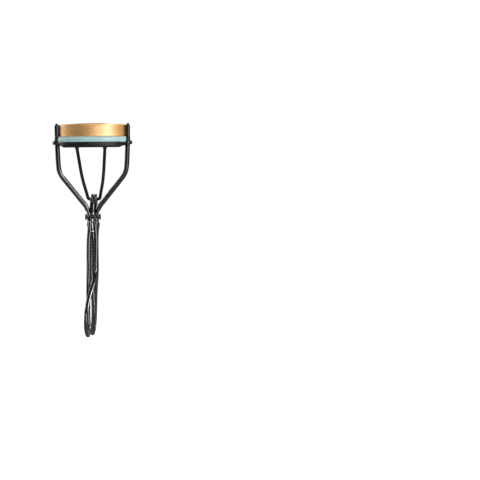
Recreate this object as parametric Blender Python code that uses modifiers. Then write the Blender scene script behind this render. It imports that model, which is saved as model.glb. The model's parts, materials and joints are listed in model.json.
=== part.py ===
"""Eyelash curler: a bent-wire frame with a fixed curved plate, and a padded lower jaw that a
wire lever pulls down along the frame's uprights.

Points are written in millimetres from the pivot pin's centre: X across the jaws, Y away from
the front handle, Z up along the uprights. world() turns them into metres, with the origin at
the middle of the rear finger loop. The curler is built closed.
"""
import math

import bpy
import bmesh
import numpy as np
from mathutils import Vector

MM = 0.001
LOOP_CENTRE = Vector((0.0, 11.0, -49.0))    # the world origin, seen from the pivot
GAP = 0.3                                   # clearance between pieces that touch

# Wires
FRAME_R = 1.3
LEVER_R = 1.2
ARM_R = 0.85                # jaw arms
PATH_STEP = 2.0             # spacing of the points along a wire
EYE_PATH_STEP = 1.0         # the same along the thin arms
FRAME_TOP_Z = 46.6
UPRIGHT_TOP_HALF = 1.1      # the uprights are pressed a little flat beside the plate
LOOP_BOTTOM_Z = -60.0

# Pivot
PIN_R = 0.9
PIN_HEAD_R = 1.65
PIN_HEAD_IN = 3.3           # inner face of the heads, from the mid-plane
PIN_HALF_LENGTH = 4.05
PIN_FLAT_R = 1.1            # flat centre of each head
PIN_EASE = 0.25
EYE_R = 2.15                # rounded eyes around the pivot
FRAME_EYE_X = 2.45
FRAME_EYE_HALF = 0.55
LEVER_EYE_X = 1.05
LEVER_EYE_HALF = 0.55
SPACER_HALF = 0.2
SPACER_R = 1.6

# Link between the lever and the jaw's arms
LINK = Vector((0.0, 6.0, 9.1))
LINK_EYE_X = 0.82
LINK_EYE_HALF = 0.62
LINK_EYE_R = 2.4
LEVER_NECK_HALF = 1.0       # the lever is pressed a little flat between its eyes

# Bar brazed across the front of the lever
BRIDGE = Vector((0.0, -4.65, -7.4))
BRIDGE_R = 0.4
BRIDGE_HALF = 0.9

# Jaws
ARC_CENTRE_Y = 13.35        # the arc's centre lies behind the uprights
ARC_R = 21.75               # middle of the plate, pad and channel
PLATE_THICK = 0.9
PLATE_LOW_Z = 41.15
PLATE_HIGH_Z = 47.5
PLATE_ARC_END = 45.0        # degrees, where the ends turn back to the uprights
PLATE_TURN_END = 84.0
PLATE_TURN_R = 3.6
PLATE_TAB = 0.45
PAD_HIGH_Z = PLATE_LOW_Z - GAP
CHANNEL_LOW_Z = 35.6
CHANNEL_HIGH_Z = 38.5
CHANNEL_HALF = 1.85         # half its radial width
CHANNEL_WALL = 0.55
CHANNEL_END = 45.5
PAD_HALF = 1.55
PAD_END = 48.6
EYELET = Vector((17.93, -0.26, 37.7))
EYELET_R = 2.75
EYELET_BORE_R = 1.85
EYELET_HALF = 0.85
EYELET_TILT = 10.0          # degrees, its outer side is the higher one
ARM_TOP_X = 7.15

# Uprights' tips: a collar with a small dome on it
UPRIGHT_TOP_X = 18.44
TIP_COLLAR_R = 1.12
TIP_COLLAR_HIGH = 0.3
TIP_DOME_R = 0.85
TIP_HIGH = 1.2

LACQUER = ("black_lacquer", (0.022, 0.020, 0.018), 0.28, 0.35)
GOLD = ("satin_gold", (0.78, 0.52, 0.28), 0.25, 1.0)
SILICONE = ("celadon_silicone", (0.42, 0.66, 0.66), 0.45, 0.0)
STEEL = ("blackened_steel", (0.05, 0.048, 0.045), 0.3, 0.8)


def world(point):
    """Metres in the world for a point given in millimetres from the pivot."""
    return (Vector(point) - LOOP_CENTRE) * MM


def arc_y(x, radius=ARC_R):
    """Y of the jaws' arc at X."""
    return ARC_CENTRE_Y - math.sqrt(radius * radius - x * x)


# ---------------------------------------------------------------- scene and materials

def clear_scene():
    for obj in list(bpy.data.objects):
        bpy.data.objects.remove(obj)


def collection(name):
    found = bpy.data.collections.new(name)
    bpy.context.scene.collection.children.link(found)
    return found


def material(finish):
    name, colour, roughness, metallic = finish
    found = bpy.data.materials.get(name)
    if found:
        return found
    found = bpy.data.materials.new(name)
    found.use_nodes = True
    shader = found.node_tree.nodes["Principled BSDF"]
    shader.inputs["Base Color"].default_value = (*colour, 1.0)
    shader.inputs["Roughness"].default_value = roughness
    shader.inputs["Metallic"].default_value = metallic
    return found


def finish_object(obj, finish):
    obj.data.materials.clear()
    obj.data.materials.append(material(finish))
    obj.data.shade_smooth()
    obj.data.set_sharp_from_angle(angle=math.radians(40))
    return obj


def hide_as_cutter(obj):
    obj.hide_render = True
    obj.display_type = "WIRE"
    return obj


# ---------------------------------------------------------------- modelling helpers

def smooth_path(points, step):
    """Points about `step` apart on a Catmull-Rom spline through `points`."""
    knots = [Vector(p) for p in points]
    ends = [2 * knots[0] - knots[1]] + knots + [2 * knots[-1] - knots[-2]]
    path = []
    for a, b, c, d in zip(ends, ends[1:], ends[2:], ends[3:]):
        count = max(1, round((c - b).length / step))
        ab, bc, cd = (math.sqrt((q - p).length) for p, q in ((a, b), (b, c), (c, d)))
        start = ((b - a) / ab - (c - a) / (ab + bc) + (c - b) / bc) * bc
        stop = ((c - b) / bc - (d - b) / (bc + cd) + (d - c) / cd) * bc
        for i in range(count):
            t = i / count
            path.append((2 * t ** 3 - 3 * t ** 2 + 1) * b + (t ** 3 - 2 * t ** 2 + t) * start
                        + (3 * t ** 2 - 2 * t ** 3) * c + (t ** 3 - t ** 2) * stop)
    return path + [knots[-1]]


def poly_curve(name, points, closed=False):
    curve = bpy.data.curves.new(name, "CURVE")
    curve.dimensions = "3D"
    curve.twist_mode = "Z_UP"
    spline = curve.splines.new("POLY")
    spline.points.add(len(points) - 1)
    for slot, point in zip(spline.points, points):
        slot.co = (*point, 1.0)
    spline.use_cyclic_u = closed
    return curve


def solid_from_curve(name, curve, target):
    """The curve's tube as a mesh object, with its caps welded on."""
    source = bpy.data.objects.new(name + "_curve", curve)
    target.objects.link(source)
    graph = bpy.context.evaluated_depsgraph_get()
    mesh = bpy.data.meshes.new_from_object(source.evaluated_get(graph))
    matrix = source.matrix_world.copy()
    bpy.data.objects.remove(source)
    work = bmesh.new()
    work.from_mesh(mesh)
    bmesh.ops.remove_doubles(work, verts=work.verts, dist=0.00001)
    bmesh.ops.recalc_face_normals(work, faces=work.faces)
    work.to_mesh(mesh)
    work.free()
    obj = bpy.data.objects.new(name, mesh)
    obj.matrix_world = matrix
    target.objects.link(obj)
    return obj


def wire(name, path, radius, resolution, target):
    curve = poly_curve(name, [world(p) for p in path])
    curve.twist_mode = "MINIMUM"
    curve.bevel_depth = radius * MM
    curve.bevel_resolution = resolution
    curve.use_fill_caps = True
    return solid_from_curve(name, curve, target)


def swept(name, plan, section, target):
    """A section of (outward, up) points carried along a level plan of (x, y) points."""
    outline = [(u * MM, (v - LOOP_CENTRE.z) * MM, 0.0) for u, v in section]
    profile = poly_curve(name + "_section", outline, closed=True)
    profile.dimensions = "2D"
    profile_object = bpy.data.objects.new(name + "_section", profile)
    target.objects.link(profile_object)
    route = [world((x, y, LOOP_CENTRE.z)) for x, y in plan]
    path = poly_curve(name, route)
    path.bevel_mode = "OBJECT"
    path.bevel_object = profile_object
    path.use_fill_caps = True
    obj = solid_from_curve(name, path, target)
    bpy.data.objects.remove(profile_object)
    return obj


def turned(name, profile, centre, axis, steps, target):
    """A profile of (radius, along) points turned around `axis` ('X' or 'Z') through `centre`."""
    mesh = bpy.data.meshes.new(name)
    work = bmesh.new()
    verts = [work.verts.new((r * MM, 0.0, h * MM)) for r, h in profile]
    for a, b in zip(verts, verts[1:]):
        work.edges.new((a, b))
    work.to_mesh(mesh)
    work.free()
    obj = bpy.data.objects.new(name, mesh)
    target.objects.link(obj)
    obj.location = world(centre)
    if axis == "X":
        obj.rotation_euler = (0.0, math.pi / 2, 0.0)
    screw = obj.modifiers.new("turn", "SCREW")
    screw.axis = "Z"
    screw.steps = steps
    screw.render_steps = steps
    screw.use_merge_vertices = True
    screw.merge_threshold = 0.00001
    return obj


def operand_cylinder(name, centre, radius, half, target, axis="X", sides=24):
    """A cylinder along X or Z, as an operand for a Boolean."""
    mesh = bpy.data.meshes.new(name)
    work = bmesh.new()
    bmesh.ops.create_cone(work, cap_ends=True, segments=sides, radius1=radius * MM, radius2=radius * MM,
                          depth=2 * half * MM)
    work.to_mesh(mesh)
    work.free()
    obj = bpy.data.objects.new(name, mesh)
    obj.location = world(centre)
    if axis == "X":
        obj.rotation_euler = (0.0, math.pi / 2, 0.0)
    target.objects.link(obj)
    return hide_as_cutter(obj)


def boolean(obj, operand, operation):
    step = obj.modifiers.new(operand.name, "BOOLEAN")
    step.operation = operation
    step.solver = "EXACT"
    step.object = operand


def pressed_wire(name, path, radius, presses, target, sides=10):
    """A round wire lofted along `path`, squeezed in X near some heights as a die does.

    presses lists (height, half thickness, reach, fade) in millimetres."""
    work = bmesh.new()
    normal = Vector((0.0, 1.0, 0.0))
    rings = []
    for i, point in enumerate(path):
        tangent = (path[min(i + 1, len(path) - 1)] - path[max(i - 1, 0)]).normalized()
        normal = (normal - tangent * normal.dot(tangent)).normalized()
        across = tangent.cross(normal)
        squeeze = 1.0
        for height, half, reach, fade in presses:
            amount = min(1.0, max(0.0, (reach + fade - abs(point.z - height)) / fade))
            amount = amount * amount * (3.0 - 2.0 * amount)
            squeeze = min(squeeze, 1.0 + (half / radius - 1.0) * amount)
        ring = []
        for k in range(sides):
            angle = 2 * math.pi * (k + 0.5) / sides
            offset = radius * (math.cos(angle) * normal + math.sin(angle) * across)
            offset.x *= squeeze
            ring.append(work.verts.new(world(point + offset)))
        rings.append(ring)
    for a, b in zip(rings, rings[1:]):
        for k in range(sides):
            n = (k + 1) % sides
            work.faces.new((a[k], a[n], b[n], b[k]))
    work.faces.new(rings[0])
    work.faces.new(rings[-1])
    bmesh.ops.recalc_face_normals(work, faces=work.faces)
    mesh = bpy.data.meshes.new(name)
    work.to_mesh(mesh)
    work.free()
    obj = bpy.data.objects.new(name, mesh)
    target.objects.link(obj)
    return obj


def mirrored(points):
    return [(-x, y, z) for x, y, z in points]


# ---------------------------------------------------------------- wire routes

FRAME_SIDE = [
    (UPRIGHT_TOP_X, 0.0, FRAME_TOP_Z), (18.28, 0.0, 40.0), (17.97, 0.0, 33.0), (17.66, 0.0, 27.0),
    (17.2, 0.0, 23.8), (16.15, 0.0, 21.35), (13.95, 0.0, 18.4), (9.8, 0.0, 13.25),
    (5.7, 0.0, 8.15), (3.9, 0.0, 5.95), (2.95, 0.0, 4.3), (2.5, 0.0, 2.4),
    (FRAME_EYE_X, 0.0, 0.0), (2.36, 0.7, -2.0), (2.1, 1.2, -4.0), (1.65, 1.6, -6.6),
    (1.42, 1.8, -9.6), (1.37, 1.85, -13.0), (1.36, 1.85, -17.0), (1.36, 1.85, -23.0),
]
FRAME_LOOP = [
    (1.33, 2.0, -28.0), (0.75, 4.4, -33.5), (-0.05, 9.0, -39.0), (-0.8, 14.8, -44.5),
    (-1.4, 19.0, -49.5), (-1.8, 20.4, -53.8), (-2.0, 18.4, -57.8), (-2.05, 13.6, LOOP_BOTTOM_Z),
    (-1.45, 8.2, -59.6), (-0.8, 4.0, -56.8), (-0.3, 2.0, -52.4), (-0.2, 1.7, -46.5),
    (-0.4, 1.75, -40.0), (-1.0, 1.8, -34.0), (-1.4, 1.8, -28.0),
]
LEVER_SIDE = [
    (LINK_EYE_X, 6.6, 10.0), (LINK_EYE_X, 6.0, 9.1), (1.1, 4.5, 6.8), (1.1, 3.3, 5.0),
    (1.06, 2.0, 3.0), (LEVER_EYE_X, 0.0, 0.0), (1.1, -1.2, -1.8), (1.34, -2.2, -3.8),
    (1.42, -2.7, -6.0), (1.56, -3.0, -9.0), (1.76, -3.4, -13.0), (1.84, -4.2, -18.0),
    (1.84, -5.2, -23.0),
]
LEVER_LOOP = [
    (1.8, -6.6, -28.0), (1.15, -9.8, -32.8), (0.15, -14.8, -37.6), (-0.6, -20.4, -42.2),
    (-0.95, -25.6, -46.8), (-1.05, -28.3, -51.4), (-1.05, -27.9, -55.9), (-1.0, -24.6, -59.0),
    (-1.0, -19.4, LOOP_BOTTOM_Z - 0.25), (-1.15, -14.6, -59.0), (-1.5, -11.2, -55.8),
    (-1.75, -10.0, -51.0), (-1.8, -9.7, -45.0), (-1.8, -9.1, -39.0), (-1.8, -7.9, -33.0),
    (-1.8, -6.6, -28.0),
]
ARM_SIDE = [
    (ARM_TOP_X, arc_y(ARM_TOP_X), CHANNEL_LOW_Z - GAP), (6.5, -4.1, 29.0), (5.8, -1.1, 22.9),
    (5.06, 1.3, 18.3), (4.15, 3.4, 14.3), (3.6, 4.6, 12.0), (3.3, 5.3, 10.6), (3.05, 5.8, 9.6),
    (2.5, LINK.y, LINK.z), (1.5, LINK.y, LINK.z), (0.4, LINK.y, LINK.z),
]


# ---------------------------------------------------------------- pieces

def eyes(obj, name, centre, x, half, radius, bore, cutters):
    """Round the wire's two strands out into eyes at `centre` and bore them along X."""
    for side, word in ((-1, "left"), (1, "right")):
        spot = (side * x, centre.y, centre.z)
        boolean(obj, operand_cylinder(f"{name}_disc_{word}", spot, radius, half, cutters), "UNION")
    boolean(obj, operand_cylinder(f"{name}_bore", centre, bore, x + half + 1.0, cutters), "DIFFERENCE")


def frame_wire(parts, cutters):
    path = smooth_path(FRAME_SIDE + FRAME_LOOP + mirrored(reversed(FRAME_SIDE)), PATH_STEP)
    presses = [(0.6, FRAME_EYE_HALF, 3.4, 1.6), (46.0, UPRIGHT_TOP_HALF, 4.0, 1.5)]
    obj = pressed_wire("frame_wire", path, FRAME_R, presses, parts)
    eyes(obj, "frame_eye", Vector((0, 0, 0)), FRAME_EYE_X, FRAME_EYE_HALF, EYE_R, PIN_R + GAP, cutters)
    return finish_object(obj, LACQUER)


def lever_wire(parts, cutters):
    path = smooth_path(LEVER_SIDE + LEVER_LOOP + mirrored(reversed(LEVER_SIDE)), PATH_STEP)
    presses = [(9.6, LINK_EYE_HALF, 1.5, 1.5), (5.0, LEVER_NECK_HALF, 3.4, 1.5),
               (0.3, LEVER_EYE_HALF, 2.4, 1.7)]
    obj = pressed_wire("lever_wire", path, LEVER_R, presses, parts)
    eyes(obj, "pivot_eye", Vector((0, 0, 0)), LEVER_EYE_X, LEVER_EYE_HALF, EYE_R, PIN_R + GAP, cutters)
    eyes(obj, "link_eye", LINK, LINK_EYE_X, LINK_EYE_HALF, LINK_EYE_R, ARM_R + GAP, cutters)
    return finish_object(obj, LACQUER)


def pivot_pin(parts):
    """Headed pin, turned about X: the heads are slightly domed with a flat centre."""
    half = [(0.0, PIN_HALF_LENGTH), (PIN_FLAT_R, PIN_HALF_LENGTH),
            (PIN_HEAD_R, PIN_HALF_LENGTH - PIN_EASE), (PIN_HEAD_R, PIN_HEAD_IN), (PIN_R, PIN_HEAD_IN)]
    profile = half + [(r, -h) for r, h in reversed(half)]
    return finish_object(turned("pivot_pin", profile, (0, 0, 0), "X", 24, parts), STEEL)


def pivot_spacer(parts):
    bore = PIN_R + GAP
    profile = [(bore, SPACER_HALF), (SPACER_R, SPACER_HALF), (SPACER_R, -SPACER_HALF),
               (bore, -SPACER_HALF), (bore, SPACER_HALF)]
    return finish_object(turned("pivot_spacer", profile, (0, 0, 0), "X", 20, parts), STEEL)


def lever_bridge(parts):
    profile = [(0.0, BRIDGE_HALF), (BRIDGE_R, BRIDGE_HALF), (BRIDGE_R, -BRIDGE_HALF), (0.0, -BRIDGE_HALF)]
    return finish_object(turned("lever_bridge", profile, BRIDGE, "X", 16, parts), STEEL)


def upright_tip(side, word, parts):
    """A collar and a small dome that close the upright."""
    dome = [(0.0, TIP_HIGH)]
    for degrees in (60, 30, 0):
        angle = math.radians(degrees)
        dome.append((TIP_DOME_R * math.cos(angle), TIP_HIGH - TIP_DOME_R * (1.0 - math.sin(angle))))
    collar = [(TIP_DOME_R, TIP_COLLAR_HIGH + 0.02), (TIP_COLLAR_R, TIP_COLLAR_HIGH),
              (TIP_COLLAR_R, 0.0), (0.0, 0.0)]
    centre = (side * UPRIGHT_TOP_X, 0.0, FRAME_TOP_Z + GAP)
    obj = turned(f"upright_tip_{word}", dome + collar, centre, "Z", 16, parts)
    return finish_object(obj, LACQUER)


def plate_plan():
    """Half of the plate's plan from the middle to the tab at the upright, then both halves."""
    half = []
    for degrees in np.arange(0.0, PLATE_ARC_END + 0.1, 3.75):
        angle = math.radians(degrees)
        half.append((ARC_R * math.sin(angle), ARC_CENTRE_Y - ARC_R * math.cos(angle)))
    x, y = half[-1]
    start = math.radians(PLATE_ARC_END)
    for degrees in np.linspace(PLATE_ARC_END, PLATE_TURN_END, 6)[1:]:
        angle = math.radians(degrees)
        half.append((x + PLATE_TURN_R * (math.sin(angle) - math.sin(start)),
                     y + PLATE_TURN_R * (math.cos(start) - math.cos(angle))))
    angle = math.radians(PLATE_TURN_END)
    x, y = half[-1]
    half.append((x + PLATE_TAB * math.cos(angle), y + PLATE_TAB * math.sin(angle)))
    return [(-x, y) for x, y in reversed(half[1:])] + half


def upper_plate(parts):
    """The plate's section: a flat band with a rounded lower lip and an eased top edge."""
    half = PLATE_THICK / 2
    section = [(-half, PLATE_LOW_Z + 0.35), (-half + 0.2, PLATE_LOW_Z), (half - 0.2, PLATE_LOW_Z),
               (half, PLATE_LOW_Z + 0.35), (half, PLATE_HIGH_Z - 0.35), (half - 0.3, PLATE_HIGH_Z),
               (-half, PLATE_HIGH_Z)]
    return finish_object(swept("upper_plate", plate_plan(), section, parts), GOLD)


def arc_plan(end, count, radius=ARC_R):
    angles = [math.radians(-end + 2 * end * i / count) for i in range(count + 1)]
    return [(radius * math.sin(a), ARC_CENTRE_Y - radius * math.cos(a)) for a in angles]


def jaw_channel(parts):
    """A U-shaped channel, open at the top."""
    out = CHANNEL_HALF
    wall = CHANNEL_WALL
    floor = CHANNEL_LOW_Z + wall
    section = [(-out, CHANNEL_LOW_Z + 0.5), (-out + 0.5, CHANNEL_LOW_Z), (out - 0.5, CHANNEL_LOW_Z),
               (out, CHANNEL_LOW_Z + 0.5), (out, CHANNEL_HIGH_Z), (out - wall, CHANNEL_HIGH_Z),
               (out - wall, floor), (-out + wall, floor), (-out + wall, CHANNEL_HIGH_Z),
               (-out, CHANNEL_HIGH_Z)]
    return finish_object(swept("jaw_channel", arc_plan(CHANNEL_END, 26), section, parts), LACQUER)


def jaw_pad(parts, cutters):
    """The pad: a foot held in the channel and a domed head above its walls.

    Its foot stops short of the eyelets."""
    foot = CHANNEL_HALF - CHANNEL_WALL - GAP
    low = CHANNEL_LOW_Z + CHANNEL_WALL + GAP
    shoulder = CHANNEL_HIGH_Z + GAP
    head = PAD_HALF
    section = [(-foot, low), (foot, low), (foot, shoulder), (head, shoulder),
               (head, PAD_HIGH_Z - 0.7), (head - 0.55, PAD_HIGH_Z), (-head + 0.55, PAD_HIGH_Z),
               (-head, PAD_HIGH_Z - 0.7), (-head, shoulder), (-foot, shoulder)]
    obj = swept("jaw_pad", arc_plan(PAD_END, 28), section, parts)
    half = (shoulder - CHANNEL_LOW_Z) / 2 + 0.5
    for side, word in ((-1, "left"), (1, "right")):
        centre = (side * EYELET.x, EYELET.y, shoulder - half)
        notch = operand_cylinder(f"pad_notch_{word}", centre, EYELET_R + GAP, half, cutters, "Z")
        boolean(obj, notch, "DIFFERENCE")
    return finish_object(obj, SILICONE)


def guide_eyelet(side, word, parts):
    profile = [(EYELET_BORE_R, EYELET_HALF), (EYELET_R - 0.2, EYELET_HALF), (EYELET_R, EYELET_HALF - 0.25),
               (EYELET_R, -EYELET_HALF + 0.25), (EYELET_R - 0.2, -EYELET_HALF),
               (EYELET_BORE_R, -EYELET_HALF), (EYELET_BORE_R, EYELET_HALF)]
    centre = (side * EYELET.x, EYELET.y, EYELET.z)
    obj = turned(f"guide_eyelet_{word}", profile, centre, "Z", 24, parts)
    obj.rotation_euler = (0.0, -side * math.radians(EYELET_TILT), 0.0)
    return finish_object(obj, LACQUER)


def jaw_arm(side, word, parts):
    path = smooth_path([(side * x, y, z) for x, y, z in ARM_SIDE], EYE_PATH_STEP)
    return finish_object(wire(f"jaw_arm_{word}", path, ARM_R, 2, parts), LACQUER)


def joint_empty(name, point, parts, parent=None):
    empty = bpy.data.objects.new(name, None)
    empty.empty_display_size = 0.01
    parts.objects.link(empty)
    empty.location = world(point)
    bpy.context.view_layer.update()
    if parent:
        hold(empty, parent)
    return empty


def hold(obj, parent):
    """Parent without moving."""
    obj.parent = parent
    obj.matrix_parent_inverse = parent.matrix_world.inverted()


def build():
    clear_scene()
    parts = collection("eyelash_curler")
    cutters = collection("cutters")
    frame = joint_empty("frame_origin", LOOP_CENTRE, parts)
    lever = joint_empty("lever_axis", (0, 0, 0), parts, frame)
    bpy.context.view_layer.update()
    jaw = joint_empty("jaw_axis", LINK, parts, lever)
    bpy.context.view_layer.update()
    sides = ((-1, "left"), (1, "right"))

    fixed = [frame_wire(parts, cutters), upper_plate(parts), pivot_pin(parts), pivot_spacer(parts)]
    fixed += [upright_tip(side, word, parts) for side, word in sides]
    swinging = [lever_wire(parts, cutters), lever_bridge(parts)]
    sliding = [jaw_channel(parts), jaw_pad(parts, cutters)]
    sliding += [guide_eyelet(side, word, parts) for side, word in sides]
    sliding += [jaw_arm(side, word, parts) for side, word in sides]
    for pieces, parent in ((fixed, frame), (swinging, lever), (sliding, jaw)):
        for piece in pieces:
            hold(piece, parent)


build()
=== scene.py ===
"""The eyelash curler's looks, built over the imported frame.

Points are in millimetres from the pivot pin's centre: X across the jaws, Y away from the front
handle, Z up along the uprights. world() turns them into metres in the frame's coordinates.
"""
import json
import math

import bmesh
import bpy
from mathutils import Matrix, Vector

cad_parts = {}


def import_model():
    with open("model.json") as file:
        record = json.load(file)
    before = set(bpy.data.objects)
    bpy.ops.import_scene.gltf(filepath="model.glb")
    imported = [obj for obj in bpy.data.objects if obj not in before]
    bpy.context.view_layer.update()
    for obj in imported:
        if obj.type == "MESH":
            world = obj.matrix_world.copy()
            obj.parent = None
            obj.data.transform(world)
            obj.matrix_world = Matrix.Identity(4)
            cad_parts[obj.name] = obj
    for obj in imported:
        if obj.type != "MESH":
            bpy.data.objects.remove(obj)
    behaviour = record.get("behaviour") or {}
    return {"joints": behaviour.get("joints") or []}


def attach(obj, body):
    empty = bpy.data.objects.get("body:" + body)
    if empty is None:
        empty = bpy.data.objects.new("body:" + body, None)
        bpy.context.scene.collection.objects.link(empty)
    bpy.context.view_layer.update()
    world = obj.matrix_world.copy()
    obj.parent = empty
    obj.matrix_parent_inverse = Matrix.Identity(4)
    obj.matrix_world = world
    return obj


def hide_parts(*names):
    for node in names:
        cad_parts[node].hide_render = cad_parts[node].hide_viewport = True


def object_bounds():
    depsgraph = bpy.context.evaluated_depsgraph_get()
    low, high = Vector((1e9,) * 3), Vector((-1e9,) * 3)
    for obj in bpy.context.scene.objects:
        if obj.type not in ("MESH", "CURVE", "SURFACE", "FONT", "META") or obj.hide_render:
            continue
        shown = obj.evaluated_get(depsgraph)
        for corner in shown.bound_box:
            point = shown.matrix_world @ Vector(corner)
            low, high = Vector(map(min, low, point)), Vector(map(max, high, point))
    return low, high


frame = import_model()
CAD_LOW, CAD_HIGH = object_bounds()
JOINTS = {joint["name"]: joint for joint in frame["joints"]}
PIVOT = Vector(JOINTS["lever_hinge"]["pos_m"])
LINK = (Vector(JOINTS["jaw_hinge"]["pos_m"]) - PIVOT) * 1000.0
X_AXIS = Vector((1.0, 0.0, 0.0))
Z_AXIS = Vector((0.0, 0.0, 1.0))

# Wires
FRAME_R = 1.3
LEVER_R = 1.2
ARM_R = 0.85
ARM_TOP_X = 7.15                # where an arm meets the channel's arc
WIRE_STEP = 0.4
WIRE_SIDES = 26
DOME_STEPS = 5
FRAME_TOP_Z = 46.6
EYE_R = 2.15
LINK_EYE_R = 2.7
NECK_HALF = 1.0                 # the lever is pressed a little flat between its eyes
FRAME_EYE = (2.45, 0.55)        # X of an eye and half its thickness
LEVER_EYE = (1.05, 0.55)
LINK_EYE = (0.81, 0.66)
PIN_R = 0.9
PIN_PLAY = 0.12                 # between the pin and the eyes around it
LINK_PLAY = 0.08                # between the arms' hooks and the lever's link eyes
BORE_HALF = 4.5                 # half the length of the drill through the pivot's eyes
LINK_BORE_HALF = 2.4
BRIDGE_Z = -7.4
LOOP_EASE = 0.07                # the loops are drawn this much thinner than their stock
SHOULDER_Z = (21.0, 27.0)       # handling has polished the lacquer below this stretch

# Jaws
ARC_Y = 13.35                   # the jaws' arc is centred here
ARC_R = 21.75
PLATE_ARC_END = 46.5            # degrees, where the ends turn back to the uprights
PLATE_ARC_STEPS = 46
PLATE_TURN_R = 3.6
PLATE_TURN_STEPS = 13
PLATE_TURN_STEP = 3.0           # degrees
PLATE_LOW = 41.15
PLATE_TOP = 47.58               # at the ends
PLATE_CROWN = 0.47              # how much higher the middle stands
WELD_X = 17.3
PAD_TOP = 41.1
CHANNEL_LOW = 35.6
CHANNEL_TOP = 38.5
EYELET = Vector((17.93, -0.26, 37.7))
EYELET_CLEAR = 2.85             # the pad keeps this far from the eyelet's axis
UPRIGHT_TOP_X = 18.44

FRAME_SIDE = [
    (UPRIGHT_TOP_X, 0.0, FRAME_TOP_Z), (18.28, 0.0, 40.0), (17.97, 0.0, 33.0), (17.66, 0.0, 27.0),
    (17.2, 0.0, 23.8), (16.15, 0.0, 21.35), (13.95, 0.0, 18.4), (9.8, 0.0, 13.25),
    (5.7, 0.0, 8.15), (3.9, 0.0, 5.95), (2.95, 0.0, 4.3), (2.5, 0.0, 2.4),
    (FRAME_EYE[0], 0.0, 0.0), (2.36, 0.7, -2.0), (2.1, 1.2, -4.0), (1.65, 1.6, -6.6),
    (1.38, 1.8, -9.6), (1.31, 1.85, -13.0), (1.31, 1.85, -17.0), (1.31, 1.85, -23.0),
]
FRAME_LOOP = [
    (1.29, 2.0, -28.0), (0.75, 4.4, -33.5), (-0.05, 9.0, -39.0), (-0.8, 14.8, -44.5),
    (-1.4, 19.0, -49.5), (-1.8, 20.4, -53.8), (-2.0, 18.4, -57.8), (-2.05, 13.6, -60.0),
    (-1.45, 8.2, -59.6), (-0.8, 4.0, -56.8), (-0.3, 2.0, -52.4), (-0.2, 1.7, -46.5),
    (-0.4, 1.75, -40.0), (-1.0, 1.8, -34.0), (-1.4, 1.8, -28.0),
]
LEVER_SIDE = [
    (LINK_EYE[0], LINK.y, LINK.z), (1.1, 4.5, 6.8), (1.12, 3.3, 5.0), (1.08, 2.0, 3.0),
    (LEVER_EYE[0], 0.0, 0.0), (1.14, -1.2, -1.8), (1.36, -2.2, -3.8), (1.46, -2.7, -6.0),
    (1.7, -3.0, -9.0), (1.93, -3.4, -13.0), (1.95, -4.2, -18.0), (1.88, -5.2, -23.0),
]
LEVER_LOOP = [
    (1.8, -6.6, -28.0), (1.15, -9.8, -32.8), (0.15, -14.8, -37.6), (-0.6, -20.4, -42.2),
    (-0.95, -25.6, -46.8), (-1.05, -28.3, -51.4), (-1.05, -27.9, -55.9), (-1.0, -24.6, -59.0),
    (-1.0, -19.4, -60.25), (-1.15, -14.6, -59.0), (-1.5, -11.2, -55.8),
    (-1.75, -10.0, -51.0), (-1.8, -9.7, -45.0), (-1.8, -9.1, -39.0), (-1.8, -7.9, -33.0),
    (-1.8, -6.6, -28.0),
]


def world(point):
    return PIVOT + Vector(point) * 0.001


def fade(value, low, high):
    """0 below `low`, 1 above `high`, smooth in between."""
    t = min(1.0, max(0.0, (value - low) / (high - low)))
    return t * t * (3.0 - 2.0 * t)


# ---------------------------------------------------------------- materials

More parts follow.
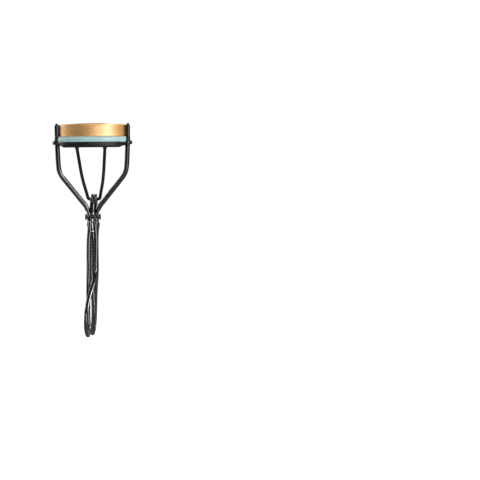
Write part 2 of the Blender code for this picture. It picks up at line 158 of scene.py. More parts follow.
class Look:
    """A procedural material on the Principled shader."""

    def __init__(self, name, **sockets):
        self.material = bpy.data.materials.new(name)
        self.material.use_nodes = True
        self.tree = self.material.node_tree
        self.shader = self.tree.nodes["Principled BSDF"]
        for socket, value in sockets.items():
            self.shader.inputs[socket.replace("_", " ")].default_value = value
        coords = self.tree.nodes.new("ShaderNodeTexCoord")
        self.place = coords.outputs["Object"]
        self.last_bump = None

    def link(self, source, target):
        self.tree.links.new(source, target)

    def feed(self, source, socket):
        """Give a socket a number, a colour or another node's output."""
        if isinstance(source, (float, int)):
            socket.default_value = source
        elif isinstance(source, tuple):
            socket.default_value = (*source, 1.0)
        else:
            self.link(source, socket)

    def scaled(self, scale):
        """Object coordinates times `scale`, in cycles per metre."""
        mapping = self.tree.nodes.new("ShaderNodeMapping")
        mapping.inputs["Scale"].default_value = scale
        self.link(self.place, mapping.inputs["Vector"])
        return mapping.outputs["Vector"]

    def noise(self, scale, detail=3.0):
        """Noise whose scale is in cycles per metre along X, Y and Z."""
        node = self.tree.nodes.new("ShaderNodeTexNoise")
        node.inputs["Scale"].default_value = 1.0
        node.inputs["Detail"].default_value = detail
        node.inputs["Roughness"].default_value = 0.55
        self.link(self.scaled(scale), node.inputs["Vector"])
        return node.outputs["Fac"]

    def ramp(self, value, low, high, out_low, out_high):
        """`value` from low..high to out_low..out_high."""
        node = self.tree.nodes.new("ShaderNodeMapRange")
        for socket, number in zip(("From Min", "From Max", "To Min", "To Max"),
                                  (low, high, out_low, out_high)):
            node.inputs[socket].default_value = number
        self.link(value, node.inputs["Value"])
        return node.outputs["Result"]

    def colours(self, value, *stops):
        """A colour ramp over (position, colour) stops."""
        node = self.tree.nodes.new("ShaderNodeValToRGB")
        ramp = node.color_ramp
        ramp.elements[0].position, ramp.elements[0].color = stops[0][0], (*stops[0][1], 1.0)
        ramp.elements[1].position, ramp.elements[1].color = stops[-1][0], (*stops[-1][1], 1.0)
        for position, colour in stops[1:-1]:
            ramp.elements.new(position).color = (*colour, 1.0)
        self.link(value, node.inputs["Fac"])
        return node.outputs["Color"]

    def blend(self, amount, first, second):
        node = self.tree.nodes.new("ShaderNodeMix")
        node.data_type = "RGBA"
        amount_in, first_in, second_in = node.inputs[0], node.inputs[6], node.inputs[7]
        for source, socket in ((amount, amount_in), (first, first_in), (second, second_in)):
            self.feed(source, socket)
        return node.outputs[2]

    def math(self, operation, first, second):
        node = self.tree.nodes.new("ShaderNodeMath")
        node.operation = operation
        self.feed(first, node.inputs[0])
        self.feed(second, node.inputs[1])
        return node.outputs[0]

    def height(self):
        """Z in the frame, in metres."""
        split = self.tree.nodes.new("ShaderNodeSeparateXYZ")
        self.link(self.place, split.inputs["Vector"])
        return split.outputs["Z"]

    def edges(self, low, high):
        """1 on worn, convex edges, 0 elsewhere."""
        node = self.tree.nodes.new("ShaderNodeNewGeometry")
        return self.ramp(node.outputs["Pointiness"], low, high, 0.0, 1.0)

    def colour(self, source):
        self.link(source, self.shader.inputs["Base Color"])

    def rough(self, source):
        self.link(source, self.shader.inputs["Roughness"])

    def bump(self, height, distance, strength=1.0):
        node = self.tree.nodes.new("ShaderNodeBump")
        node.inputs["Strength"].default_value = strength
        node.inputs["Distance"].default_value = distance
        self.link(height, node.inputs["Height"])
        if self.last_bump:
            self.link(self.last_bump, node.inputs["Normal"])
        self.last_bump = node.outputs["Normal"]
        self.link(self.last_bump, self.shader.inputs["Normal"])


def lacquer_look(name, shine_low, shine_high):
    """Warm black lacquer: faint orange peel, soft mottling, paler where edges have rubbed.

    Handling has polished it below the shoulders, to shine_low; above them it keeps shine_high.
    """
    look = Look(name, IOR=1.9)
    low, high = (world((0, 0, z)).z for z in SHOULDER_Z)
    shine = look.ramp(look.height(), low, high, shine_low, shine_high)
    look.link(shine, look.shader.inputs["Specular IOR Level"])
    mottle = look.noise((420, 420, 420), detail=4.0)
    tone = look.colours(mottle, (0.3, (0.0018, 0.0015, 0.0012)), (0.7, (0.0048, 0.0042, 0.0034)))
    edges = look.edges(0.62, 0.72)
    patches = look.ramp(look.noise((500, 500, 500)), 0.45, 0.62, 0.0, 0.4)
    worn = look.math("MULTIPLY", edges, patches)
    look.colour(look.blend(worn, tone, (0.055, 0.048, 0.040)))
    look.rough(look.ramp(look.noise((300, 300, 120), detail=3.0), 0.3, 0.7, 0.14, 0.17))
    look.bump(look.noise((260, 260, 160), detail=1.0), 0.000001, 0.1)
    return look.material


def channel_look():
    """The pressed jaw channel: the same lacquer over sheet, more satin, with drawing marks."""
    look = Look("black_lacquer_sheet", Specular_IOR_Level=0.3)
    mottle = look.noise((300, 300, 900), detail=4.0)
    tone = look.colours(mottle, (0.3, (0.0060, 0.0054, 0.0048)), (0.7, (0.0130, 0.0120, 0.0108)))
    edges = look.edges(0.52, 0.6)
    patches = look.ramp(look.noise((1300, 1300, 1300)), 0.42, 0.6, 0.0, 0.6)
    worn = look.math("MULTIPLY", edges, patches)
    look.colour(look.blend(worn, tone, (0.075, 0.067, 0.058)))
    look.rough(look.ramp(look.noise((160, 160, 1800), detail=4.0), 0.3, 0.7, 0.34, 0.44))
    look.bump(look.noise((220, 220, 3600), detail=2.0), 0.000002, 0.3)
    return look.material


def gold_look():
    """Satin rose-gold plate: fine brushing along the band, softly uneven, brighter on its edges."""
    look = Look("satin_gold", Metallic=1.0, Coat_Weight=1.0, Coat_Roughness=0.3, Coat_IOR=1.7)
    cloud = look.noise((90, 90, 140), detail=3.0)
    tone = look.colours(cloud, (0.3, (0.78, 0.425, 0.150)), (0.7, (0.84, 0.480, 0.185)))
    brushing = look.noise((260, 260, 9000), detail=3.0)
    streaks = look.ramp(brushing, 0.3, 0.7, 0.0, 0.16)
    tone = look.blend(streaks, tone, (0.93, 0.64, 0.36))
    tone = look.blend(look.math("MULTIPLY", look.edges(0.52, 0.6), 0.55), tone, (0.97, 0.74, 0.47))
    look.colour(tone)
    fine = look.ramp(brushing, 0.3, 0.7, 0.50, 0.58)
    look.rough(look.math("ADD", fine, look.ramp(cloud, 0.3, 0.7, -0.03, 0.03)))
    look.bump(brushing, 0.000004, 0.4)
    look.bump(look.noise((1500, 1500, 1500), detail=2.0), 0.000002, 0.25)
    return look.material


def silicone_look():
    """Celadon silicone rubber: cloudy, satin, with a fine moulded grain."""
    look = Look("celadon_silicone", Subsurface_Weight=0.25, Subsurface_Scale=0.0012,
                Specular_IOR_Level=0.5, Coat_Weight=0.25, Coat_Roughness=0.22)
    look.shader.inputs["Subsurface Radius"].default_value = (0.6, 1.0, 1.0)
    cloud = look.noise((220, 220, 500), detail=4.0)
    tone = look.colours(cloud, (0.25, (0.365, 0.600, 0.620)), (0.55, (0.420, 0.670, 0.695)),
                        (0.8, (0.475, 0.715, 0.740)))
    rubbed = look.math("MULTIPLY", look.edges(0.51, 0.58), 0.5)
    look.colour(look.blend(rubbed, tone, (0.60, 0.80, 0.79)))
    look.rough(look.ramp(look.noise((1500, 1500, 1500), detail=4.0), 0.3, 0.7, 0.34, 0.5))
    look.bump(look.noise((5200, 5200, 5200), detail=2.0), 0.000004, 0.4)
    return look.material


def steel_look():
    """Blackened steel turned about X: rings from the tool, bare on the rims."""
    look = Look("blackened_steel", Metallic=0.85, Coat_Weight=0.2, Coat_Roughness=0.15)
    blotch = look.noise((1200, 1200, 1200), detail=4.0)
    tone = look.colours(blotch, (0.3, (0.018, 0.0165, 0.015)), (0.7, (0.045, 0.041, 0.037)))
    rim = look.math("MULTIPLY", look.edges(0.52, 0.62), 0.7)
    look.colour(look.blend(rim, tone, (0.23, 0.21, 0.19)))
    look.rough(look.ramp(look.noise((5200, 700, 700), detail=3.0), 0.3, 0.7, 0.2, 0.36))
    look.bump(look.noise((7000, 500, 500), detail=2.0), 0.000002, 0.4)
    return look.material


def bare_steel_look():
    """The lever's little bar: lacquer worn through to drawn steel."""
    look = Look("bare_steel", Metallic=1.0)
    wear = look.noise((1400, 1400, 1400), detail=4.0)
    look.colour(look.colours(wear, (0.3, (0.62, 0.60, 0.57)), (0.7, (0.86, 0.84, 0.81))))
    look.rough(look.ramp(look.noise((600, 5200, 5200), detail=3.0), 0.3, 0.7, 0.34, 0.5))
    look.bump(look.noise((600, 6000, 6000), detail=2.0), 0.000002, 0.4)
    return look.material


def braze_look():
    """A flowed joint under the lacquer: lumpy and a little duller."""
    look = Look("lacquered_braze", Coat_Weight=0.2, Coat_Roughness=0.12)
    lumps = look.noise((1700, 1700, 1700), detail=3.0)
    look.colour(look.colours(lumps, (0.3, (0.0045, 0.0040, 0.0036)), (0.7, (0.0130, 0.0118, 0.0104))))
    look.rough(look.ramp(lumps, 0.3, 0.7, 0.22, 0.36))
    look.bump(lumps, 0.00002, 0.5)
    return look.material


def floor_look():
    """Pale paper that is seen nearly white, and lights the curler only a little."""
    look = Look("pale_paper", Specular_IOR_Level=0.2)
    look.shader.inputs["Emission Color"].default_value = (1.0, 1.0, 1.0, 1.0)
    path = look.tree.nodes.new("ShaderNodeLightPath")
    glow = look.math("MULTIPLY", path.outputs["Is Camera Ray"], 0.9)
    look.link(glow, look.shader.inputs["Emission Strength"])
    fibre = look.noise((60, 60, 60), detail=6.0)
    look.colour(look.colours(fibre, (0.3, (0.46, 0.46, 0.46)), (0.7, (0.50, 0.50, 0.495))))
    look.rough(look.ramp(fibre, 0.3, 0.7, 0.7, 0.9))
    look.bump(look.noise((700, 700, 700), detail=4.0), 0.00005, 0.2)
    return look.material


LACQUER = lacquer_look("black_lacquer", 0.44, 0.2)
ARM_LACQUER = lacquer_look("satin_black_lacquer", 0.24, 0.14)
SHEET = channel_look()
GOLD = gold_look()
SILICONE = silicone_look()
STEEL = steel_look()
BARE = bare_steel_look()
BRAZE = braze_look()


# ---------------------------------------------------------------- modelling helpers

def smooth_path(points, step):
    """Points about `step` apart on a centripetal spline through `points`."""
    knots = [Vector(p) for p in points]
    ends = [2 * knots[0] - knots[1]] + knots + [2 * knots[-1] - knots[-2]]
    path = []
    for a, b, c, d in zip(ends, ends[1:], ends[2:], ends[3:]):
        count = max(1, round((c - b).length / step))
        ab, bc, cd = (math.sqrt((q - p).length) for p, q in ((a, b), (b, c), (c, d)))
        start = ((b - a) / ab - (c - a) / (ab + bc) + (c - b) / bc) * bc
        stop = ((c - b) / bc - (d - b) / (bc + cd) + (d - c) / cd) * bc
        for i in range(count):
            t = i / count
            path.append((2 * t ** 3 - 3 * t ** 2 + 1) * b + (t ** 3 - 2 * t ** 2 + t) * start
                        + (3 * t ** 2 - 2 * t ** 3) * c + (t ** 3 - t ** 2) * stop)
    return path + [knots[-1]]


def eased(path, rounds):
    """The path with its corners relaxed; its ends stay."""
    for _ in range(rounds):
        inner = [(a + 2 * b + c) / 4 for a, b, c in zip(path, path[1:], path[2:])]
        path = [path[0]] + inner + [path[-1]]
    return path


def tangents(path):
    """The unit direction of the path at each of its points."""
    last = len(path) - 1
    return [(path[min(i + 1, last)] - path[max(i - 1, 0)]).normalized() for i in range(len(path))]


def mirrored(points):
    return [(-x, y, z) for x, y, z in points]


def hand(side):
    return "right" if side > 0 else "left"


def flip(points, side):
    """Points modelled on the right, moved to `side`, 1 or -1."""
    return [Vector((side * p.x, p.y, p.z)) for p in points]


def superellipse(sides, power):
    """Unit points round a section that is a circle at power 2 and squarer above it."""
    points = []
    for k in range(sides):
        angle = 2 * math.pi * (k + 0.5) / sides
        c, s = math.cos(angle), math.sin(angle)
        points.append((math.copysign(abs(c) ** (2 / power), c),
                       math.copysign(abs(s) ** (2 / power), s)))
    return points


def solid(name, rings, look, closed=False):
    """A closed body through rings of points given in millimetres from the pivot."""
    work = bmesh.new()
    levels = [[work.verts.new(world(p)) for p in ring] for ring in rings]
    pairs = list(zip(levels, levels[1:]))
    if closed:
        pairs.append((levels[-1], levels[0]))
    for low, high in pairs:
        for k in range(len(low)):
            n = (k + 1) % len(low)
            work.faces.new((low[k], low[n], high[n], high[k]))
    if not closed:
        work.faces.new(levels[0])
        work.faces.new(levels[-1])
    bmesh.ops.recalc_face_normals(work, faces=work.faces)
    mesh = bpy.data.meshes.new(name)
    work.to_mesh(mesh)
    work.free()
    return dressed(bpy.data.objects.new(name, mesh), look)


def dressed(obj, look, angle=50):
    """Link an object into the scene, smooth below `angle` degrees, with one material."""
    if obj.name not in bpy.context.scene.collection.objects:
        bpy.context.scene.collection.objects.link(obj)
    obj.data.materials.clear()
    obj.data.materials.append(look)
    obj.data.shade_smooth()
    obj.data.set_sharp_from_angle(angle=math.radians(angle))
    return obj


def spun(name, profile, centre, axis, look, sides=40):
    """A profile of (radius, along) points spun about `axis` through `centre`."""
    axis = axis.normalized()
    first = axis.orthogonal().normalized()
    second = axis.cross(first)
    rings = []
    for k in range(sides):
        angle = 2 * math.pi * k / sides
        out = math.cos(angle) * first + math.sin(angle) * second
        rings.append([centre + out * r + axis * h for r, h in profile])
    obj = solid(name, rings, look, closed=True)
    work = bmesh.new()
    work.from_mesh(obj.data)
    bmesh.ops.remove_doubles(work, verts=work.verts, dist=0.000001)
    bmesh.ops.dissolve_degenerate(work, dist=0.0000005, edges=work.edges)
    bmesh.ops.recalc_face_normals(work, faces=work.faces)
    work.to_mesh(obj.data)
    work.free()
    return dressed(obj, look, 40)


def fillet(centre_r, centre_h, radius, start, stop, count):
    """Points of a round corner in a spun profile, angles in degrees from the radius axis."""
    points = []
    for i in range(count + 1):
        angle = math.radians(start + (stop - start) * i / count)
        points.append((centre_r + radius * math.cos(angle), centre_h + radius * math.sin(angle)))
    return points


def show(obj, body, slot, *nodes):
    """Put a piece on its body, in place of the frame's own nodes."""
    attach(obj, body)
    if nodes:
        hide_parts(*nodes)
    return obj


# ---------------------------------------------------------------- wires

def wire_rings(path, radius, eyes, presses):
    """Rings of a wire with eyes coined into it and stretches pressed a little flat.

    eyes: (centre, eye radius, half thickness, flat, reach, tip), with the flat part and its
    run-out in eye radii, and tip 1 or -1 where the wire ends ahead of or behind the eye;
    presses: (low z, high z, half).
    """
    rings = []
    for point, tangent in zip(path, tangents(path)):
        across = (X_AXIS - tangent * tangent.x).normalized()
        other = tangent.cross(across)
        thick = wide = radius - LOOP_EASE * fade(-point.z, 26.0, 42.0)
        power, centre = 2.0, point.copy()
        for low, high, half in presses:
            amount = fade(point.z, low - 1.5, low) * (1.0 - fade(point.z, high, high + 1.5))
            thick += (half - radius) * amount
            wide += (radius - half) * 0.4 * amount
            power += 0.7 * amount
        for eye, eye_r, half, flat, reach, tip in eyes:
            away = (point - eye).length
            if away > 3 * eye_r or point.x * eye.x < 0:
                continue
            along = (point - eye).dot(tangent)
            amount = 1.0 - fade(abs(along), eye_r * flat, eye_r * reach)
            beyond = along * tip > 0
            if beyond:
                amount = 1.0
            thick += (half - thick) * amount
            power += 1.7 * amount
            round_half = math.sqrt(max(0.0, eye_r ** 2 - along ** 2))
            if beyond:
                wide = max(round_half, 0.05)
            else:
                wide = (wide ** 6 + round_half ** 6) ** (1 / 6)
            pull = 1.0 - fade(abs(along), eye_r * 0.3, eye_r * 1.3)
            centre += (eye - centre).dot(other) * other * pull
        rings.append([centre + across * (thick * c) + other * (wide * s)
                      for c, s in superellipse(WIRE_SIDES, power)])
    return rings


def domed(rings, height):
    """Round off both ends of a run of rings by `height`."""
    for end, beside in ((0, 1), (-1, -2)):
        ring, inner = rings[end], rings[beside]
        centre = sum(ring, Vector()) / len(ring)
        out = (centre - sum(inner, Vector()) / len(inner)).normalized()
        caps = []
        for i in range(1, DOME_STEPS + 1):
            angle = math.pi / 2 * i / (DOME_STEPS + 0.5)
            rise = out * height * math.sin(angle)
            caps.append([centre + (p - centre) * math.cos(angle) + rise for p in ring])
        rings = list(reversed(caps)) + rings if end == 0 else rings + caps
    return rings


def bored(obj, centre, radius, half):
    """Drill along X through `centre`."""
    profile = [(0.0, half), (radius, half), (radius, -half), (0.0, -half)]
    tool = spun("drill", profile, Vector(centre), X_AXIS, LACQUER, 32)
    step = obj.modifiers.new("bore", "BOOLEAN")
    step.operation = "DIFFERENCE"
    step.solver = "EXACT"
    step.object = tool
    graph = bpy.context.evaluated_depsgraph_get()
    mesh = bpy.data.meshes.new_from_object(obj.evaluated_get(graph))
    obj.modifiers.clear()
    obj.data = mesh
    bpy.data.objects.remove(tool)
    return dressed(obj, obj.data.materials[0])


def frame_wire():
    """Both uprights, the pivot's outer eyes and the rear finger loop, in one wire."""
    path = smooth_path(FRAME_SIDE + FRAME_LOOP + mirrored(reversed(FRAME_SIDE)), WIRE_STEP)
    eyes = [(Vector((side * FRAME_EYE[0], 0, 0)), EYE_R, FRAME_EYE[1], 0.85, 1.9, 0)
            for side in (1, -1)]
    beside_plate = (41.5, 50.0, 1.12)
    rings = wire_rings(eased(path, 3), FRAME_R, eyes, [beside_plate])
    obj = bored(solid("frame_wire_fine", rings, LACQUER), (0, 0, 0), PIN_R + PIN_PLAY, BORE_HALF)
    return show(obj, "frame", "black_lacquer", "frame_wire")


def lever_wire():
    """Both link eyes, the pivot's inner eyes and the front finger loop, in one wire."""
    lead = (Vector(LEVER_SIDE[0]) - Vector(LEVER_SIDE[1])).normalized() * (LINK_EYE_R - 0.01)
    lead.x = 0.0
    strand = [tuple(Vector(LEVER_SIDE[0]) + lead)] + LEVER_SIDE
    path = smooth_path(strand + LEVER_LOOP + mirrored(reversed(strand)), WIRE_STEP * 0.7)
    eyes = [(Vector((side * LEVER_EYE[0], 0, 0)), EYE_R, LEVER_EYE[1], 0.85, 1.4, 0)
            for side in (1, -1)]
    eyes += [(Vector((side * LINK_EYE[0], LINK.y, LINK.z)), LINK_EYE_R, LINK_EYE[1], 0.4, 0.75, -side)
             for side in (1, -1)]
    neck = (1.2, 9.0, NECK_HALF)
    rings = wire_rings(eased(path, 2), LEVER_R, eyes, [neck])
    obj = bored(solid("lever_wire_fine", rings, LACQUER), LINK, ARM_R + LINK_PLAY, LINK_BORE_HALF)
    obj = bored(obj, (0, 0, 0), PIN_R + PIN_PLAY, BORE_HALF)
    return show(obj, "lever", "black_lacquer", "lever_wire")


def jaw_arm(side):
    """A thin wire: flared where it is brazed under the channel, hooked through the lever's eyes."""
    top_y = ARC_Y - math.sqrt(ARC_R ** 2 - ARM_TOP_X ** 2)
    knots = [
        (7.2, top_y - 0.2, CHANNEL_LOW + 0.3), (7.12, top_y + 0.1, 34.9), (6.5, -4.1, 29.0),
        (5.8, -1.1, 22.9), (5.06, 1.3, 18.3), (4.15, 3.4, 14.3), (3.6, 4.6, 12.0),
        (3.3, 5.3, 10.6), (3.05, 5.8, 9.6), (2.5, LINK.y, LINK.z), (1.5, LINK.y, LINK.z),
        (0.3, LINK.y, LINK.z),
    ]
    path = eased(smooth_path(knots, 0.25), 4)
    normal = Vector((0.0, 1.0, 0.0))
    rings = []
    for point, tangent in zip(path, tangents(path)):
        normal = (normal - tangent * normal.dot(tangent)).normalized()
        across = tangent.cross(normal)
        flare = fade(point.z, CHANNEL_LOW - 1.5, CHANNEL_LOW + 0.1)
        radius = ARM_R * (1.0 + 0.38 * flare ** 2)
        rings.append([point + normal * (radius * c) + across * (radius * s)
                      for c, s in superellipse(20, 2.0)])
    rings = [flip(ring, side) for ring in domed(rings, 0.25)]
    obj = solid(f"jaw_arm_fine_{hand(side)}", rings, ARM_LACQUER)
    return show(obj, "jaw", "black_lacquer", f"jaw_arm_{hand(side)}")


# ---------------------------------------------------------------- pivot

def pivot_pin():
    """Headed pin: domed heads with a peened dimple and a shallow turned step."""
    half = [(0.0, 3.93), (0.35, 3.95), (0.5, 4.03), (0.7, 4.04)]
    half += fillet(1.1, 3.49, 0.55, 75, 0, 7)
    half += [(1.64, 3.42), (1.56, 3.33), (1.2, 3.3), (PIN_R, 3.25)]
    profile = half + [(r, -h) for r, h in reversed(half)]
    obj = spun("pivot_pin_fine", profile, Vector((0, 0, 0)), X_AXIS, STEEL, 48)
    return show(obj, "frame", "blackened_steel", "pivot_pin")


def pivot_spacer():
    """The ring on the pin between the lever's two eyes."""
    outer = fillet(1.5, 0.1, 0.1, 90, 0, 3) + fillet(1.5, -0.1, 0.1, 0, -90, 3)
    inner = [(PIN_R + 0.1, -0.2), (PIN_R + 0.1, 0.2)]
    rings = []
    for k in range(40):
        angle = 2 * math.pi * k / 40
        out = Vector((0.0, math.cos(angle), math.sin(angle)))
        rings.append([out * r + X_AXIS * h for r, h in outer + inner])
    obj = solid("pivot_spacer_fine", rings, STEEL, closed=True)
    return show(obj, "frame", "blackened_steel", "pivot_spacer")


def lever_bridge():
    """The small bar brazed across the front of the lever's two strands."""
    half = [(0.0, 0.98), (0.2, 0.96), (0.34, 0.86), (0.4, 0.68), (0.41, 0.4), (0.44, 0.15)]
    profile = half + [(r, -h) for r, h in reversed(half)]
    obj = spun("lever_bridge_fine", profile, Vector((0.0, -4.38, BRIDGE_Z)), X_AXIS, BARE, 28)
    show(obj, "lever", "blackened_steel", "lever_bridge")
    blob = [(0.0, 0.42), (0.2, 0.39), (0.4, 0.27), (0.52, 0.05), (0.56, -0.3), (0.0, -0.5)]
    for side in (-1, 1):
        place = Vector((side * 1.02, -4.0, BRIDGE_Z))
        braze = spun(f"bridge_braze_{hand(side)}", blob, place, Vector((0, -1, 0)), BRAZE, 24)
        show(braze, "lever", "blackened_steel")


# ---------------------------------------------------------------- upper jaw

def outward(degrees):
    """The level direction at this angle from the front, to the right."""
    angle = math.radians(degrees)
    return Vector((math.sin(angle), -math.cos(angle), 0.0))


def plate_stops():
    """(point, outward) along half the plate, from the middle to the tab at the upright."""
    stops = []
    for i in range(PLATE_ARC_STEPS + 1):
        out = outward(i * PLATE_ARC_END / PLATE_ARC_STEPS)
        stops.append((Vector((0.0, ARC_Y, 0.0)) + out * ARC_R, out))
    hub = stops[-1][0] - stops[-1][1] * PLATE_TURN_R
    for i in range(1, PLATE_TURN_STEPS + 1):
        out = outward(PLATE_ARC_END + PLATE_TURN_STEP * i)
        stops.append((hub + out * PLATE_TURN_R, out))
    point, out = stops[-1]
    along = Vector((-out.y, out.x, 0.0))
    stops += [(point + along * d, out) for d in (0.2, 0.4, 0.52)]
    return stops


def plate_section(point):
    """(outward, up) points: rolled lower hem, plain face, and a lip laid back along the top."""
    lens = max(0.0, 1.0 - (point.x / 8.6) ** 2) ** 1.4
    top = PLATE_TOP + PLATE_CROWN * math.cos(min(1.0, abs(point.x) / 17.5) * math.pi / 2) ** 2
    fold = top - 0.32 - 1.15 * lens
    lip = top - fold
    lean = 0.55 * lens
    low, face = PLATE_LOW, PLATE_LOW + 1.25
    section = [(0.0, low)]
    section += [(0.12 + 0.3 * math.sin(a), low + 0.3 - 0.3 * math.cos(a))
                for a in (math.radians(d) for d in (30, 60, 90))]
    section += [(0.42, low + 0.75), (0.37, low + 1.0), (0.35, face)]
    section += [(0.36, face + (fold - face) * t) for t in (0.25, 0.5, 0.75, 0.94)]
    section += [(0.36 - 0.16 * lens, fold), (0.33 - lean * 0.25, fold + lip * 0.3)]
    section += [(0.28 - lean * 0.7, fold + lip * 0.75), (0.22 - lean, top - 0.06), (0.08 - lean, top)]
    section += [(-0.1 - lean, top - 0.02), (-0.24 - lean, top - 0.12)]
    section += [(-0.3 - lean * 0.6, fold + lip * 0.4), (-0.33, fold - 0.1)]
    section += [(-0.34, low + 3.0), (-0.34, low + 1.2), (-0.4, low + 0.8)]
    section += [(-0.42, low + 0.3), (-0.33, low + 0.1), (-0.16, low)]
    return section


def upper_plate():
    right = plate_stops()
    left = [flip(stop, -1) for stop in reversed(right[1:])]
    rings = [[point + out * u + Z_AXIS * v for u, v in plate_section(point)]
             for point, out in left + right]
    obj = solid("upper_plate_fine", rings, GOLD)
    return show(obj, "frame", "satin_gold", "upper_plate")


def plate_weld(side):
    """The bead that joins the plate's tab to its upright."""
    middle = Vector((WELD_X, 0.05, 0.0))
    rings = []
    for i in range(25):
        t = i / 24
        z = PLATE_LOW + 0.5 + t * (PLATE_TOP - PLATE_LOW - 1.0)
        swell = 0.55 + 0.45 * math.sin(math.pi * t) ** 0.5 + 0.06 * math.sin(9.0 * t + side)
        rings.append([middle + Vector((0.42 * c * swell, 0.62 * s * swell, z))
                      for c, s in superellipse(16, 2.0)])
    rings = [flip(ring, side) for ring in domed(rings, 0.25)]
    obj = solid(f"plate_weld_{hand(side)}", rings, BRAZE)
    return show(obj, "frame", "black_lacquer")


def upright_tip(side):
    """A ferrule pressed on the upright's end, with a small domed button."""
    profile = [(0.0, 1.5)]
    profile += fillet(0.0, 0.66, 0.84, 75, 5, 7)
    profile += [(0.84, 0.55), (0.72, 0.44), (0.72, 0.36), (1.0, 0.3), (1.1, 0.22), (1.14, 0.1)]
    profile += [(1.14, -0.28), (1.08, -0.36), (0.0, -0.36)]
    centre = Vector((side * UPRIGHT_TOP_X, 0.0, FRAME_TOP_Z))
    obj = spun(f"upright_tip_fine_{hand(side)}", profile, centre, Z_AXIS, LACQUER, 36)
    return show(obj, "frame", "black_lacquer", f"upright_tip_{hand(side)}")


# ---------------------------------------------------------------- lower jaw

def arc_stops(end, step):
    """(point, outward, degrees) along the jaws' arc from -end to end."""
    count = round(2 * end / step)
    stops = []
    for i in range(count + 1):
        degrees = -end + 2 * end * i / count
        out = outward(degrees)
        stops.append((Vector((0.0, ARC_Y, 0.0)) + out * ARC_R, out, degrees))
    return stops


def channel_section(degrees):
    """(outward, up) points of the U: rounded below, its lips turned in, drawn in at the ends."""
    near = fade(abs(degrees), 38.0, 47.5)
    low = CHANNEL_LOW + 1.2 * near
    top = CHANNEL_TOP - 0.1 * near
    out = 1.83 - 0.2 * near
    wall = 0.5
    half = [(0.0, low), (0.6, low)]
    half += [(out - 0.8 + 0.8 * math.sin(a), low + 0.8 - 0.8 * math.cos(a))
             for a in (math.radians(d) for d in (20, 40, 60, 80))]
    half += [(out, low + 1.1), (out + 0.02, low + 1.4), (out, top - 0.45), (out - 0.03, top - 0.2)]
    half += [(out - 0.1, top - 0.06), (out - 0.24, top), (out - 0.4, top - 0.05), (out - wall, top - 0.22)]
    half += [(out - wall, low + 1.0), (out - wall - 0.2, low + 0.65), (0.0, low + 0.52)]
    return half + [(-u, v) for u, v in reversed(half[1:-1])]


def jaw_channel():
    """The curved channel that carries the pad."""
    rings = [[p + out * u + Z_AXIS * v for u, v in channel_section(degrees)]
             for p, out, degrees in arc_stops(47.0, 1.0)]
    obj = solid("jaw_channel_fine", rings, SHEET)
    return show(obj, "jaw", "black_lacquer", "jaw_channel")


def pad_section(degrees):
    """(outward, up) points of the pad: foot in the channel, bulging flanks, crowned top."""
    near = fade(abs(degrees), 48.6, 50.2)
    top = PAD_TOP - 0.25 * near
    head = 1.52 - 0.3 * near
    foot = 0.98
    low = CHANNEL_LOW + 1.0
    shoulder = CHANNEL_TOP - 0.35
    half = [(0.0, top), (0.35, top - 0.01), (0.7, top - 0.05), (1.0, top - 0.15)]
    half += [(head - 0.25, top - 0.35), (head - 0.08, top - 0.65), (head, top - 1.05)]
    half += [(head + 0.02, top - 1.5), (head, top - 2.0), (head - 0.06, shoulder + 0.3)]
    half += [(head - 0.2, shoulder + 0.02), (foot + 0.12, shoulder - 0.06), (foot, shoulder - 0.2)]
    half += [(foot, low + 0.3), (foot - 0.15, low + 0.06), (0.0, low)]
    return half + [(-u, v) for u, v in reversed(half[1:-1])]


def jaw_pad():
    """The pad, hollowed beside the eyelets so that it keeps clear of them."""
    rings = [[p + out * u + Z_AXIS * v for u, v in pad_section(degrees)]
             for p, out, degrees in arc_stops(50.2, 0.9)]
    obj = solid("jaw_pad_fine", rings, SILICONE)
    work = bmesh.new()
    work.from_mesh(obj.data)
    clear = EYELET_CLEAR * 0.001
    for side in (-1, 1):
        eyelet = world((side * EYELET.x, EYELET.y, EYELET.z))
        hollow_top = eyelet.z + 0.0012
        for vert in work.verts:
            flat = Vector((vert.co.x - eyelet.x, vert.co.y - eyelet.y, 0.0))
            if vert.co.z < hollow_top and flat.length < clear:
                vert.co += flat.normalized() * (clear - flat.length)
    work.to_mesh(obj.data)
    work.free()
    return show(dressed(obj, SILICONE), "jaw", "celadon_silicone", "jaw_pad")


def guide_eyelet(side):
    """A pressed strap closed round the upright, rising outwards."""
    tilt = math.radians(14.0)
    axis = Vector((-math.sin(tilt), 0.0, math.cos(tilt)))
    first = Vector((math.cos(tilt), 0.0, math.sin(tilt)))
    second = axis.cross(first)
    rings = []
    for k in range(56):
        angle = 2 * math.pi * k / 56
        outer = fade(math.cos(angle), -0.6, 1.0)
        high = 0.78 + 0.22 * outer
        radius = 2.27 + 0.06 * outer
        out = math.cos(angle) * first + math.sin(angle) * second
        rings.append([EYELET + out * (radius + 0.44 * c) + axis * (high * s)
                      for c, s in superellipse(18, 2.6)])
    rings = [flip(ring, side) for ring in rings]
    obj = solid(f"guide_eyelet_fine_{hand(side)}", rings, LACQUER, closed=True)
    return show(obj, "jaw", "black_lacquer", f"guide_eyelet_{hand(side)}")


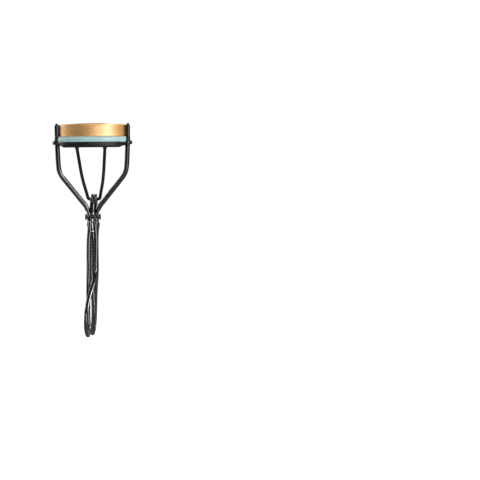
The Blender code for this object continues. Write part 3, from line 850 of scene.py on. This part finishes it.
def eyelet_strap(side):
    """The neck that carries each eyelet on the channel's end."""
    foot, out, _ = arc_stops(45.5, 1.0)[-1]
    start = foot + Z_AXIS * (CHANNEL_LOW + 1.75)
    along = Vector((-out.y, out.x, 0.0))
    stop = EYELET + Vector((-1.9, -1.45, -0.35))
    knots = [start - along * 1.2, start - along * 0.2, (start + stop) / 2 + out * 0.1]
    knots += [stop, stop + (stop - start) * 0.25]
    path = smooth_path(knots, 0.2)
    rings = []
    for i, (point, tangent) in enumerate(zip(path, tangents(path))):
        t = i / (len(path) - 1)
        level = (Z_AXIS - tangent * tangent.z).normalized()
        other = tangent.cross(level)
        high = 1.05 - 0.3 * t
        wide = 1.25 - 0.75 * t
        rings.append([point + level * (high * c) + other * (wide * s)
                      for c, s in superellipse(18, 3.0)])
    rings = [flip(ring, side) for ring in domed(rings, 0.1)]
    obj = solid(f"eyelet_strap_{hand(side)}", rings, SHEET)
    return show(obj, "jaw", "black_lacquer")


# ---------------------------------------------------------------- room, light and camera

LIGHT_AIM = world((0, 0, 10))
COOL = (1.0, 1.0, 0.98)
NEUTRAL = (1.0, 0.99, 0.97)
WARM = (1.0, 0.98, 0.94)
# name, azimuth, elevation, distance, width, height, radiance, colour
LIGHTS = [
    ("strip", 40, 4, 1.2, 0.5, 1.1, 5.8, COOL),
    ("front_strip", 13, 4, 1.25, 0.42, 1.0, 2.2, COOL),
    ("key_right", 53, 32, 1.3, 0.3, 0.24, 17.0, NEUTRAL),
    ("key_left", -60, 29, 1.3, 0.5, 0.5, 1.6, NEUTRAL),
    ("key_top", -6, 50, 1.3, 0.3, 0.2, 10.0, NEUTRAL),
    ("left_strip", -118, 4, 1.3, 0.6, 0.9, 4.5, WARM),
    ("end_strip", -102, 6, 1.3, 0.16, 0.7, 7.0, WARM),
    ("rim_right", 122, 27, 1.3, 0.36, 0.4, 15.0, WARM),
    ("rim_left", -124, 28, 1.3, 0.36, 0.4, 8.0, WARM),
]


def around(azimuth, elevation, distance):
    """A point seen from the pivot; azimuth 0 is in front, 90 to the right."""
    a, e = math.radians(azimuth), math.radians(elevation)
    away = Vector((math.sin(a) * math.cos(e), -math.cos(a) * math.cos(e), math.sin(e)))
    return PIVOT + away * distance


def area_light(name, location, width, height, radiance, colour):
    """A rectangle of even radiance, turned to the curler."""
    light = bpy.data.lights.new(name, "AREA")
    light.shape = "RECTANGLE"
    light.size = width
    light.size_y = height
    light.energy = radiance * math.pi * width * height
    light.color = colour
    obj = bpy.data.objects.new(name, light)
    bpy.context.scene.collection.objects.link(obj)
    obj.location = location
    obj.rotation_mode = "QUATERNION"
    obj.rotation_quaternion = (LIGHT_AIM - Vector(location)).to_track_quat("-Z", "Y")


def paper_floor():
    mesh = bpy.data.meshes.new("floor")
    work = bmesh.new()
    bmesh.ops.create_circle(work, cap_ends=True, segments=96, radius=0.9)
    work.to_mesh(mesh)
    work.free()
    floor = bpy.data.objects.new("floor", mesh)
    bpy.context.scene.collection.objects.link(floor)
    floor.location = (0.0, 0.0, CAD_LOW.z - 0.0004)
    floor.data.materials.append(floor_look())


def room():
    """A dim room, paler behind the curler, that is white where it is seen directly."""
    world_data = bpy.data.worlds.new("studio")
    bpy.context.scene.world = world_data
    world_data.use_nodes = True
    nodes, links = world_data.node_tree.nodes, world_data.node_tree.links
    nodes.clear()
    out = nodes.new("ShaderNodeOutputWorld")
    coords = nodes.new("ShaderNodeTexCoord")
    split = nodes.new("ShaderNodeSeparateXYZ")
    ramp = nodes.new("ShaderNodeValToRGB")
    shift = nodes.new("ShaderNodeMapRange")
    path = nodes.new("ShaderNodeLightPath")
    dim = nodes.new("ShaderNodeBackground")
    seen = nodes.new("ShaderNodeBackground")
    mix = nodes.new("ShaderNodeMixShader")
    shift.inputs["From Min"].default_value = -1.0
    shift.inputs["From Max"].default_value = 1.0
    front, back = ramp.color_ramp.elements
    front.position, front.color = 0.35, (0.07, 0.067, 0.062, 1.0)
    back.position, back.color = 0.8, (0.24, 0.24, 0.24, 1.0)
    seen.inputs["Color"].default_value = (1.0, 1.0, 1.0, 1.0)
    seen.inputs["Strength"].default_value = 1.05
    links.new(coords.outputs["Generated"], split.inputs["Vector"])
    links.new(split.outputs["Y"], shift.inputs["Value"])
    links.new(shift.outputs["Result"], ramp.inputs["Fac"])
    links.new(ramp.outputs["Color"], dim.inputs["Color"])
    links.new(path.outputs["Is Camera Ray"], mix.inputs["Fac"])
    links.new(dim.outputs["Background"], mix.inputs[1])
    links.new(seen.outputs["Background"], mix.inputs[2])
    links.new(mix.outputs["Shader"], out.inputs["Surface"])


def studio():
    paper_floor()
    area_light("top_light", (0.0, 0.95, 1.3), 1.2, 0.5, 1.2, (1.0, 1.0, 1.0))
    for name, azimuth, elevation, distance, width, height, radiance, colour in LIGHTS:
        area_light(name, around(azimuth, elevation, distance), width, height, radiance, colour)
    room()
    bpy.context.scene.view_settings.view_transform = "Standard"


def camera():
    """A long lens to the right of the curler's front, which it leaves at the left of the frame."""
    distance = 2.5
    across = 0.2465                      # width of the view at the pivot
    aim_right, aim_up = 0.0755, -0.0119  # the view's centre from the pivot
    roll = math.radians(-0.45)
    azimuth = math.radians(6.0) - math.atan(aim_right / distance)
    elevation = math.radians(1.0) + math.atan(aim_up / distance)
    back = Vector((math.sin(azimuth) * math.cos(elevation),
                   -math.cos(azimuth) * math.cos(elevation), math.sin(elevation)))
    lens = bpy.data.cameras.new("camera")
    lens.lens = 36.0 * distance / across
    lens.clip_start = 0.1
    lens.clip_end = 20.0
    obj = bpy.data.objects.new("camera", lens)
    bpy.context.scene.collection.objects.link(obj)
    turn = (-back).to_track_quat("-Z", "Y").to_matrix() @ Matrix.Rotation(roll, 3, "Z")
    right, up = turn.col[0], turn.col[1]
    obj.location = PIVOT + right * aim_right + up * aim_up + back * distance
    obj.rotation_mode = "QUATERNION"
    obj.rotation_quaternion = turn.to_quaternion()
    bpy.context.scene.camera = obj


# ---------------------------------------------------------------- the scene

studio()
camera()
frame_wire()
lever_wire()
pivot_pin()
pivot_spacer()
lever_bridge()
upper_plate()
jaw_channel()
jaw_pad()
for side in (-1, 1):
    jaw_arm(side)
    plate_weld(side)
    upright_tip(side)
    guide_eyelet(side)
    eyelet_strap(side)
